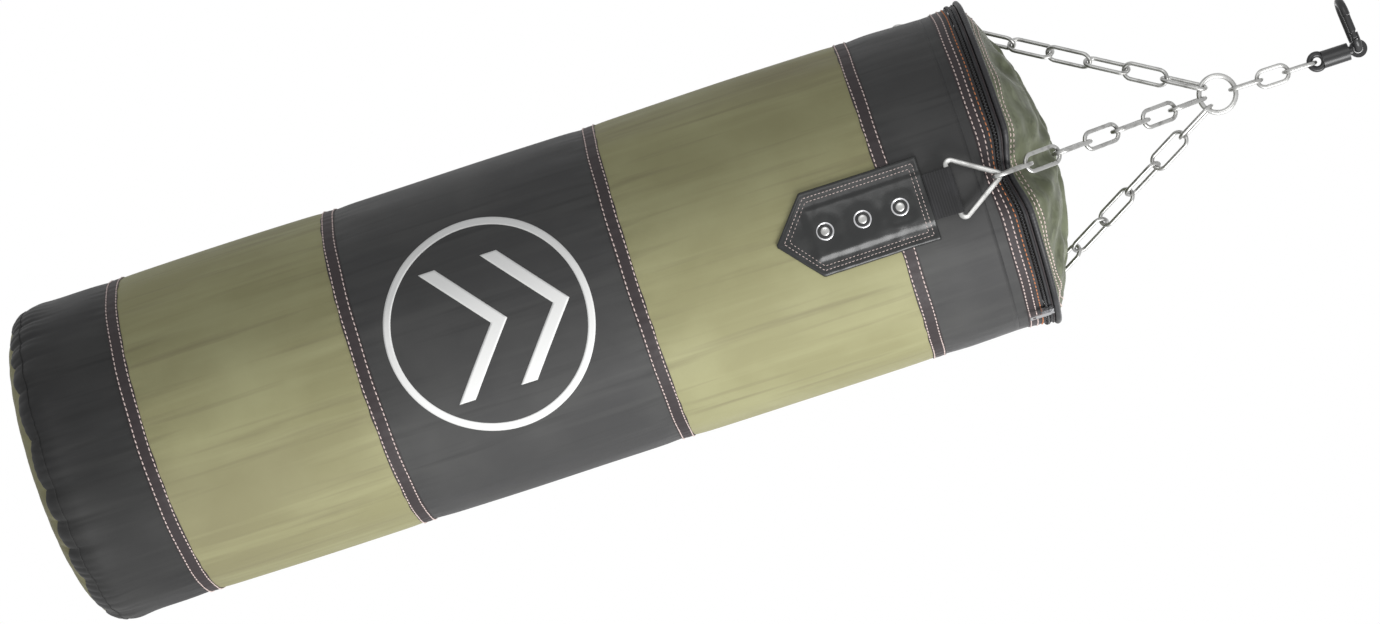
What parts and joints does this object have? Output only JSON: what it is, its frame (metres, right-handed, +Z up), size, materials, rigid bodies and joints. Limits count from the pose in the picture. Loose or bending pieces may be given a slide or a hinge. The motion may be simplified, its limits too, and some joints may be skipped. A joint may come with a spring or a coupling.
{
  "type": "heavy punching bag",
  "caption": "Filled cylindrical punching bag with banded canvas skin, zipped lid, riveted hanger tabs, triangle rings and chains rising to a joining ring, swivel and carabiner.",
  "frame": {"origin": "centre of the bag's flat base", "axes": "+Z up along the bag towards the swivel; one chain leaves the bag towards -Y, the side that carries the print; the carabiner lies towards -X"},
  "size_m": [0.3224, 0.3312, 1.3141],
  "materials": {
    "hardware_black": "satin",
    "chain_steel": "satin",
    "bearing_brass": "satin",
    "canvas_olive": "matte",
    "canvas_black": "matte",
    "webbing": "matte",
    "tab_vinyl": "gloss",
    "rivet_metal": "polished",
    "zip_tape": "matte",
    "zip_nylon": "satin",
    "slider_metal": "polished",
    "piping": "satin",
    "liner_cloth": "matte",
    "foam": "matte",
    "shreds": "matte",
    "print_white": "matte"
  },
  "bodies": {
    "hook": {"hook_body": "hardware_black", "gate_pin": "chain_steel"},
    "gate": {"hook_gate": "hardware_black", "gate_spring": "chain_steel"},
    "swivel_upper": {"swivel_eye": "hardware_black"},
    "swivel_lower": {"swivel_barrel": "hardware_black", "swivel_collar": "hardware_black", "swivel_washer": "bearing_brass"},
    "top_link_1": {"top_link_1": "chain_steel"},
    "top_link_2": {"top_link_2": "chain_steel"},
    "top_link_3": {"top_link_3": "chain_steel"},
    "bag": {"joining_ring": "chain_steel", "strap_loops": "webbing", "hanger_tabs": "tab_vinyl", "rivets": "rivet_metal", "base_panel": "canvas_olive", "lower_band": "canvas_black", "lower_panel": "canvas_olive", "middle_band": "canvas_black", "upper_panel": "canvas_olive", "top_band": "canvas_black", "zip_tape_lower": "zip_tape", "zip_coil": "zip_nylon", "zip_tape_upper": "zip_tape", "rim_piping": "piping", "lid": "canvas_olive", "liner": "liner_cloth", "foam_wall": "foam", "filling": "shreds", "emblem": "print_white"},
    "slider": {"zip_slider": "slider_metal"},
    "pull": {"zip_pull": "slider_metal"},
    "front_ring": {"front_ring": "chain_steel"},
    "front_link_1": {"front_link_1": "chain_steel"},
    "front_link_2": {"front_link_2": "chain_steel"},
    "front_link_3": {"front_link_3": "chain_steel"},
    "front_link_4": {"front_link_4": "chain_steel"},
    "front_link_5": {"front_link_5": "chain_steel"},
    "front_link_6": {"front_link_6": "chain_steel"},
    "front_link_7": {"front_link_7": "chain_steel"},
    "left_ring": {"left_ring": "chain_steel"},
    "left_link_1": {"left_link_1": "chain_steel"},
    "left_link_2": {"left_link_2": "chain_steel"},
    "left_link_3": {"left_link_3": "chain_steel"},
    "left_link_4": {"left_link_4": "chain_steel"},
    "left_link_5": {"left_link_5": "chain_steel"},
    "left_link_6": {"left_link_6": "chain_steel"},
    "left_link_7": {"left_link_7": "chain_steel"},
    "right_ring": {"right_ring": "chain_steel"},
    "right_link_1": {"right_link_1": "chain_steel"},
    "right_link_2": {"right_link_2": "chain_steel"},
    "right_link_3": {"right_link_3": "chain_steel"},
    "right_link_4": {"right_link_4": "chain_steel"},
    "right_link_5": {"right_link_5": "chain_steel"},
    "right_link_6": {"right_link_6": "chain_steel"},
    "right_link_7": {"right_link_7": "chain_steel"}
  },
  "joints": [
    {"name": "gate_open", "type": "hinge", "parent": "hook", "child": "gate", "pos_m": [-0.01235, -0.012, 1.30439], "axis": [0.0872, 0, -0.9962], "range_deg": [0, 25], "stiffness_Nm_per_rad": 0.04, "springref_deg": -20.05},
    {"name": "hook_tilt", "type": "hinge", "parent": "hook", "child": "swivel_upper", "pos_m": [0, 0, 1.30547], "axis": [0, -1, 0], "range_deg": [-15, 205]},
    {"name": "swivel_spin", "type": "hinge", "parent": "swivel_upper", "child": "swivel_lower", "pos_m": [0, 0, 1.28327], "axis": [0, 0, 1], "continuous": true},
    {"name": "top_1_swing", "type": "hinge", "parent": "swivel_lower", "child": "top_link_1", "pos_m": [0, 0, 1.25777], "axis": [1, 0, 0], "range_deg": [-35, 35]},
    {"name": "top_2_swing", "type": "hinge", "parent": "top_link_1", "child": "top_link_2", "pos_m": [0, 0, 1.23207], "axis": [0, 1, 0], "range_deg": [-35, 35]},
    {"name": "top_3_swing", "type": "hinge", "parent": "top_link_2", "child": "top_link_3", "pos_m": [0, 0, 1.20537], "axis": [1, 0, 0], "range_deg": [-35, 35]},
    {"name": "bag_swing", "type": "hinge", "parent": "top_link_3", "child": "bag", "pos_m": [0, 0, 1.17867], "axis": [0, 1, 0], "range_deg": [-35, 35]},
    {"name": "front_ring_tip", "type": "hinge", "parent": "bag", "child": "front_ring", "pos_m": [0, -0.162, 0.894], "axis": [-1, 0, 0], "range_deg": [0, 2]},
    {"name": "front_link_1_turn", "type": "hinge", "parent": "bag", "child": "front_link_1", "pos_m": [0, -0.15181, 0.95123], "axis": [0, 0.6099, 0.7924], "range_deg": [-3, 3]},
    {"name": "front_link_2_turn", "type": "hinge", "parent": "bag", "child": "front_link_2", "pos_m": [0, -0.12821, 0.9819], "axis": [0, 0.6099, 0.7924], "range_deg": [-10, 10]},
    {"name": "front_link_3_turn", "type": "hinge", "parent": "bag", "child": "front_link_3", "pos_m": [0, -0.10461, 1.01257], "axis": [0, 0.6099, 0.7924], "range_deg": [-10, 10]},
    {"name": "front_link_4_turn", "type": "hinge", "parent": "bag", "child": "front_link_4", "pos_m": [0, -0.081, 1.04324], "axis": [0, 0.6099, 0.7924], "range_deg": [-10, 10]},
    {"name": "front_link_5_turn", "type": "hinge", "parent": "bag", "child": "front_link_5", "pos_m": [0, -0.0574, 1.07391], "axis": [0, 0.6099, 0.7924], "range_deg": [-10, 10]},
    {"name": "front_link_6_turn", "type": "hinge", "parent": "bag", "child": "front_link_6", "pos_m": [0, -0.03379, 1.10457], "axis": [0, 0.6099, 0.7924], "range_deg": [-10, 10]},
    {"name": "front_link_7_turn", "type": "hinge", "parent": "bag", "child": "front_link_7", "pos_m": [0, -0.01019, 1.13524], "axis": [0, 0.6099, 0.7924], "range_deg": [-10, 10]},
    {"name": "left_ring_tip", "type": "hinge", "parent": "bag", "child": "left_ring", "pos_m": [-0.1403, 0.081, 0.894], "axis": [0.5, 0.866, 0], "range_deg": [0, 2]},
    {"name": "left_link_1_turn", "type": "hinge", "parent": "bag", "child": "left_link_1", "pos_m": [-0.13226, 0.07595, 0.95137], "axis": [0.4904, -0.3078, 0.8153], "range_deg": [-3, 3]},
    {"name": "left_link_2_turn", "type": "hinge", "parent": "bag", "child": "left_link_2", "pos_m": [-0.11343, 0.06414, 0.98267], "axis": [0.4904, -0.3078, 0.8153], "range_deg": [-10, 10]},
    {"name": "left_link_3_turn", "type": "hinge", "parent": "bag", "child": "left_link_3", "pos_m": [-0.0946, 0.05232, 1.01398], "axis": [0.4904, -0.3078, 0.8153], "range_deg": [-10, 10]},
    {"name": "left_link_4_turn", "type": "hinge", "parent": "bag", "child": "left_link_4", "pos_m": [-0.07577, 0.0405, 1.04528], "axis": [0.4904, -0.3078, 0.8153], "range_deg": [-10, 10]},
    {"name": "left_link_5_turn", "type": "hinge", "parent": "bag", "child": "left_link_5", "pos_m": [-0.05694, 0.02868, 1.07659], "axis": [0.4904, -0.3078, 0.8153], "range_deg": [-10, 10]},
    {"name": "left_link_6_turn", "type": "hinge", "parent": "bag", "child": "left_link_6", "pos_m": [-0.03812, 0.01686, 1.1079], "axis": [0.4904, -0.3078, 0.8153], "range_deg": [-10, 10]},
    {"name": "left_link_7_turn", "type": "hinge", "parent": "bag", "child": "left_link_7", "pos_m": [-0.01929, 0.00505, 1.1392], "axis": [0.4904, -0.3078, 0.8153], "range_deg": [-10, 10]},
    {"name": "right_ring_tip", "type": "hinge", "parent": "bag", "child": "right_ring", "pos_m": [0.1403, 0.081, 0.894], "axis": [0.5, -0.866, 0], "range_deg": [0, 2]},
    {"name": "right_link_1_turn", "type": "hinge", "parent": "bag", "child": "right_link_1", "pos_m": [0.13226, 0.07595, 0.95137], "axis": [-0.4904, -0.3078, 0.8153], "range_deg": [-3, 3]},
    {"name": "right_link_2_turn", "type": "hinge", "parent": "bag", "child": "right_link_2", "pos_m": [0.11343, 0.06414, 0.98267], "axis": [-0.4904, -0.3078, 0.8153], "range_deg": [-10, 10]},
    {"name": "right_link_3_turn", "type": "hinge", "parent": "bag", "child": "right_link_3", "pos_m": [0.0946, 0.05232, 1.01398], "axis": [-0.4904, -0.3078, 0.8153], "range_deg": [-10, 10]},
    {"name": "right_link_4_turn", "type": "hinge", "parent": "bag", "child": "right_link_4", "pos_m": [0.07577, 0.0405, 1.04528], "axis": [-0.4904, -0.3078, 0.8153], "range_deg": [-10, 10]},
    {"name": "right_link_5_turn", "type": "hinge", "parent": "bag", "child": "right_link_5", "pos_m": [0.05694, 0.02868, 1.07659], "axis": [-0.4904, -0.3078, 0.8153], "range_deg": [-10, 10]},
    {"name": "right_link_6_turn", "type": "hinge", "parent": "bag", "child": "right_link_6", "pos_m": [0.03812, 0.01686, 1.1079], "axis": [-0.4904, -0.3078, 0.8153], "range_deg": [-10, 10]},
    {"name": "right_link_7_turn", "type": "hinge", "parent": "bag", "child": "right_link_7", "pos_m": [0.01929, 0.00505, 1.1392], "axis": [-0.4904, -0.3078, 0.8153], "range_deg": [-10, 10]},
    {"name": "slider_travel", "type": "hinge", "parent": "bag", "child": "slider", "pos_m": [0, 0, 0.94612], "axis": [0, 0, 1], "range_deg": [-35, 35]},
    {"name": "pull_flip", "type": "hinge", "parent": "slider", "child": "pull", "pos_m": [0.14063, -0.0812, 0.95032], "axis": [-0.5, -0.866, 0], "range_deg": [0, 120]}
  ]
}
